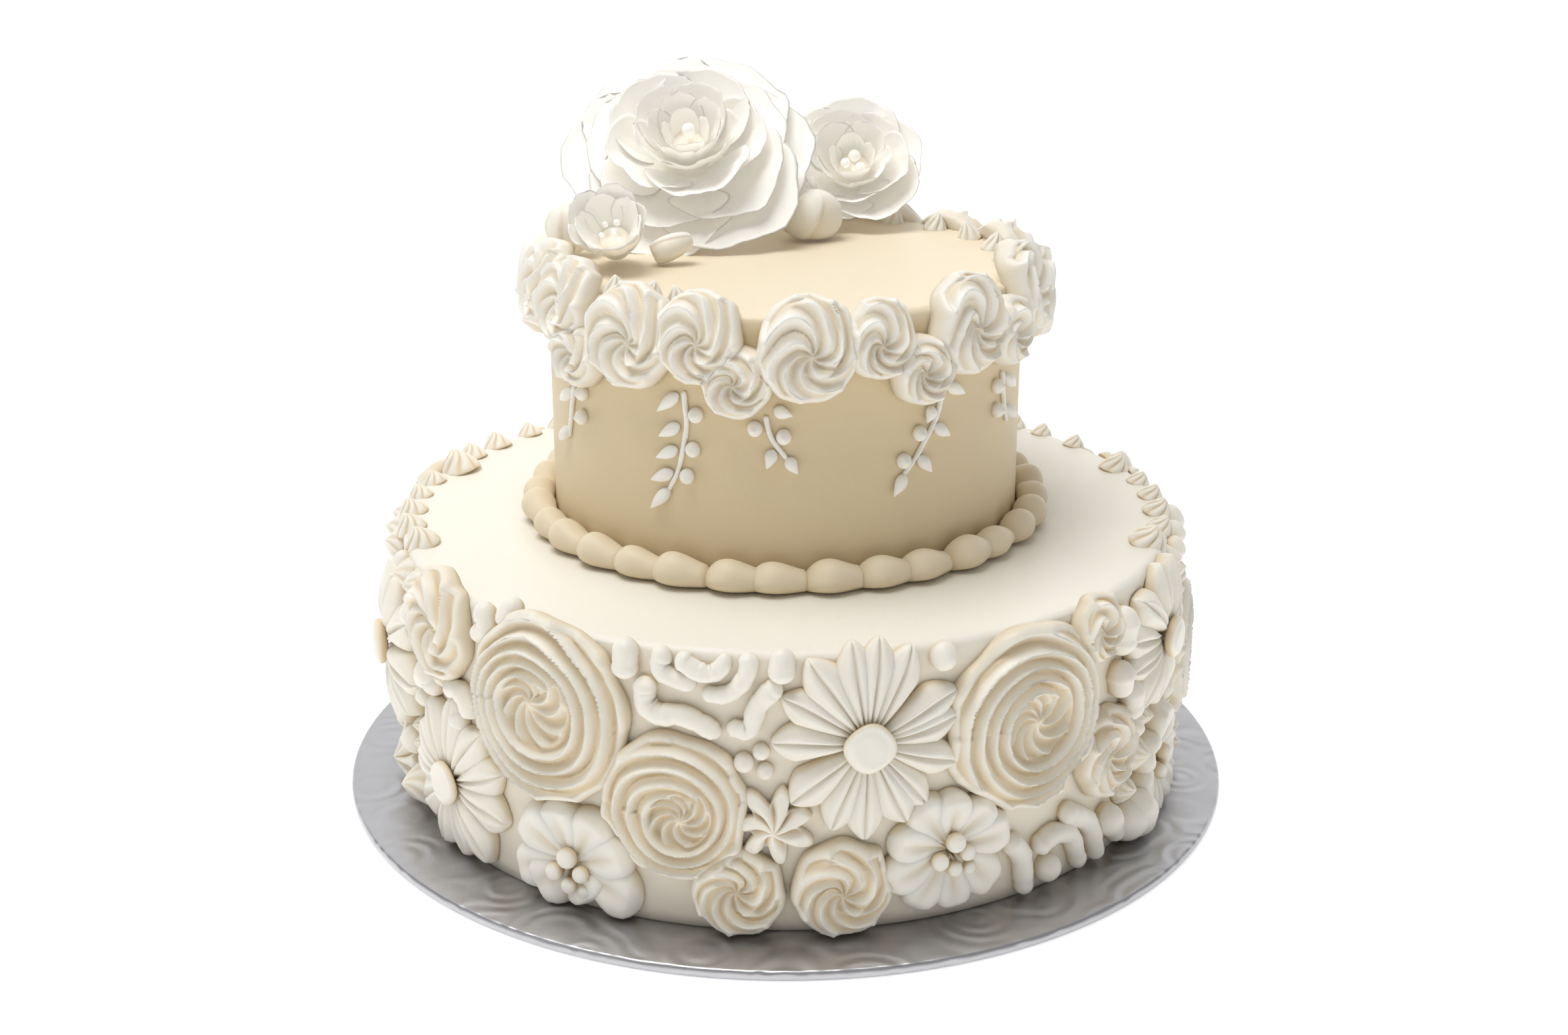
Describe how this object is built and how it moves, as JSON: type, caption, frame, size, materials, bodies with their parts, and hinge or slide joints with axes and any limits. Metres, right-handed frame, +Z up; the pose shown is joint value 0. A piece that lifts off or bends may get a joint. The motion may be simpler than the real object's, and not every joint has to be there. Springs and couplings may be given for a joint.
{
  "type": "tiered wedding cake",
  "caption": "Two-tier round wedding cake on a foil board: piped icing flowers round the lower tier, swirls on the upper rim, a bead border, trailing vines and sugar peonies on top.",
  "frame": {"origin": "centre of the cake board's underside, at the bottom centre of the whole", "axes": "+Z up, -Y towards the front that the picture shows, +X to the viewer's right"},
  "size_m": [0.3054, 0.3054, 0.2375],
  "materials": {
    "ivory_icing": "smooth buttercream with a soft satin sheen, ivory white",
    "beige_icing": "smoothed icing, warm beige, satin",
    "white_icing": "piped buttercream, near white, satin",
    "sugar_petal": "thin matt sugar paste petals",
    "silver_foil": "embossed silver foil on card, semi-gloss"
  },
  "bodies": {
    "root": {"bead_border": "beige_icing", "blossom_back": "ivory_icing", "blossom_back_left": "ivory_icing", "blossom_back_right": "ivory_icing", "blossom_front_left": "ivory_icing", "blossom_front_right": "ivory_icing", "blossom_right": "ivory_icing", "cake_board": "silver_foil", "daisy_back": "ivory_icing", "daisy_back_right": "ivory_icing", "daisy_far_left": "ivory_icing", "daisy_front": "ivory_icing", "daisy_left": "ivory_icing", "daisy_right": "ivory_icing", "lower_tier": "ivory_icing", "open_bud": "sugar_petal", "peony_large": "sugar_petal", "peony_small": "sugar_petal", "rim_swirl_01": "white_icing", "rim_swirl_02": "white_icing", "rim_swirl_03": "white_icing", "rim_swirl_04": "white_icing", "rim_swirl_05": "white_icing", "rim_swirl_06": "white_icing", "rim_swirl_07": "white_icing", "rim_swirl_08": "white_icing", "rim_swirl_09": "white_icing", "rim_swirl_10": "white_icing", "rim_swirl_11": "white_icing", "rim_swirl_12": "white_icing", "rim_swirl_13": "white_icing", "rim_swirl_14": "white_icing", "rim_swirl_15": "white_icing", "rim_swirl_16": "white_icing", "rim_swirl_17": "white_icing", "rim_swirl_18": "white_icing", "rim_swirl_19": "white_icing", "rim_swirl_20": "white_icing", "rim_swirl_21": "white_icing", "rosebud_right_rim": "ivory_icing", "star_back": "ivory_icing", "star_front": "ivory_icing", "star_left": "ivory_icing", "swirl_back": "ivory_icing", "swirl_back_left": "ivory_icing", "swirl_back_right": "ivory_icing", "swirl_far_right": "ivory_icing", "swirl_foot_left": "ivory_icing", "swirl_foot_right": "ivory_icing", "swirl_front_left": "ivory_icing", "swirl_front_middle": "ivory_icing", "swirl_front_right": "ivory_icing", "swirl_left_back_rim": "ivory_icing", "swirl_left_rim": "ivory_icing", "swirl_right": "ivory_icing", "top_bud_back": "ivory_icing", "top_bud_leaf": "ivory_icing", "top_bud_left": "ivory_icing", "top_bud_right": "ivory_icing", "upper_tier": "beige_icing"}
  },
  "joints": []
}
